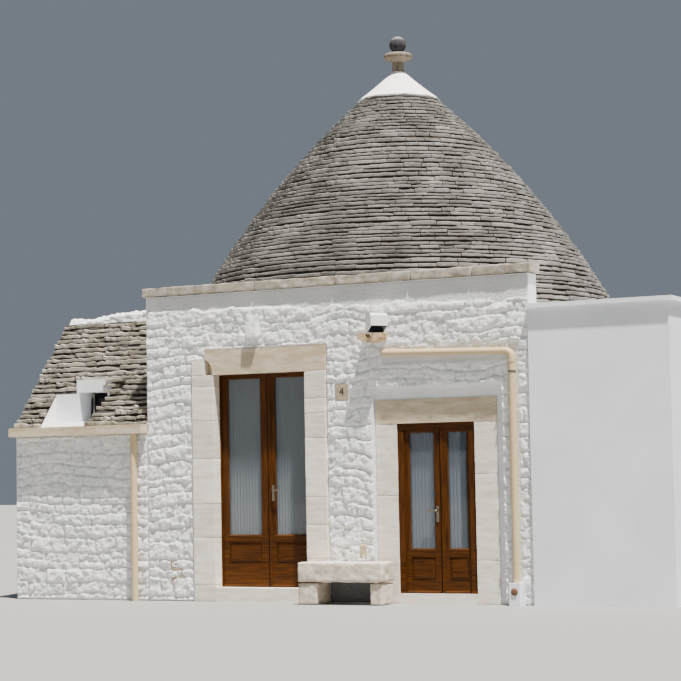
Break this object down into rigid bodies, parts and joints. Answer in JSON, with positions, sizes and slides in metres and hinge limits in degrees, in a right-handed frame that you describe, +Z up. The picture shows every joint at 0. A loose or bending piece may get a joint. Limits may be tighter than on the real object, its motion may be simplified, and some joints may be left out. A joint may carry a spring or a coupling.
{
  "type": "trullo house",
  "caption": "Whitewashed stone trullo house with a conical dry-stone roof, double glazed doors that open inward, a low alcove and a flat-roofed annex.",
  "frame": {"origin": "on the ground, on the axis of the cone", "axes": "+Z up along the cone's axis, +X to the right along the street front, +Y into the house"},
  "size_m": [8.842, 7, 7.476],
  "materials": {
    "limewashed_stone": "rough limewash over rubble",
    "dressed_stone": "sawn and picked limestone",
    "weathered_stone": "weathered limestone",
    "roof_stone": "dry-laid grey limestone slabs with lichen",
    "varnished_wood": "satin varnish",
    "window_glass": "clear",
    "curtain_cloth": "sheer white cloth",
    "handle_metal": "aged satin",
    "pipe_plastic": "painted cream",
    "clip_metal": "dull galvanised",
    "lamp_metal": "white powder coat, with a dark glass strip"
  },
  "bodies": {
    "house": {"alcove_ridge": "limewashed_stone", "alcove_roof": "roof_stone", "alcove_wall": "limewashed_stone", "alcove_window": "limewashed_stone", "annex_back_wall": "limewashed_stone", "annex_front_wall": "limewashed_stone", "annex_right_wall": "limewashed_stone", "annex_roof_slab": "limewashed_stone", "back_wall": "limewashed_stone", "bench_legs": "dressed_stone", "bench_slab": "dressed_stone", "cone_cap": "limewashed_stone", "cone_roof": "roof_stone", "door_thresholds": "dressed_stone", "drain_pipes": "pipe_plastic", "eave_stone": "dressed_stone", "facade_coping": "weathered_stone", "floor_slab": "dressed_stone", "front_wall_left": "limewashed_stone", "front_wall_middle": "limewashed_stone", "front_wall_right": "limewashed_stone", "front_wall_top": "limewashed_stone", "lamp": "lamp_metal", "left_door_frame": "varnished_wood", "left_door_jambs": "dressed_stone", "left_door_lintel": "dressed_stone", "left_wall": "limewashed_stone", "number_tile": "dressed_stone", "pinnacle": "weathered_stone", "pipe_clip": "clip_metal", "pipe_foot": "limewashed_stone", "return_wall": "limewashed_stone", "right_door_frame": "varnished_wood", "right_door_jambs": "dressed_stone", "right_door_lintel": "dressed_stone", "right_wall": "limewashed_stone", "stone_spout": "dressed_stone", "terrace_slab": "weathered_stone", "wall_over_right_door": "limewashed_stone"},
    "left_door_left_leaf": {"left_door_leaf_left": "varnished_wood", "left_door_glass_left": "window_glass", "left_door_curtain_left": "curtain_cloth"},
    "left_door_right_leaf": {"left_door_leaf_right": "varnished_wood", "left_door_glass_right": "window_glass", "left_door_curtain_right": "curtain_cloth", "left_door_handle": "handle_metal"},
    "right_door_left_leaf": {"right_door_leaf_left": "varnished_wood", "right_door_glass_left": "window_glass", "right_door_curtain_left": "curtain_cloth", "right_door_handle": "handle_metal"},
    "right_door_right_leaf": {"right_door_leaf_right": "varnished_wood", "right_door_glass_right": "window_glass", "right_door_curtain_right": "curtain_cloth"}
  },
  "joints": [
    {"name": "left_door_left_hinge", "type": "hinge", "parent": "house", "child": "left_door_left_leaf", "pos_m": [-1.0255, -3.106, 1.2], "axis": [0, 0, 1], "range_deg": [0, 90]},
    {"name": "left_door_right_hinge", "type": "hinge", "parent": "house", "child": "left_door_right_leaf", "pos_m": [0.2695, -3.106, 1.2], "axis": [0, 0, -1], "range_deg": [0, 90]},
    {"name": "right_door_left_hinge", "type": "hinge", "parent": "house", "child": "right_door_left_leaf", "pos_m": [1.4735, -3.151, 1.2], "axis": [0, 0, 1], "range_deg": [0, 90]},
    {"name": "right_door_right_hinge", "type": "hinge", "parent": "house", "child": "right_door_right_leaf", "pos_m": [2.3165, -3.151, 1.2], "axis": [0, 0, -1], "range_deg": [0, 90]}
  ]
}
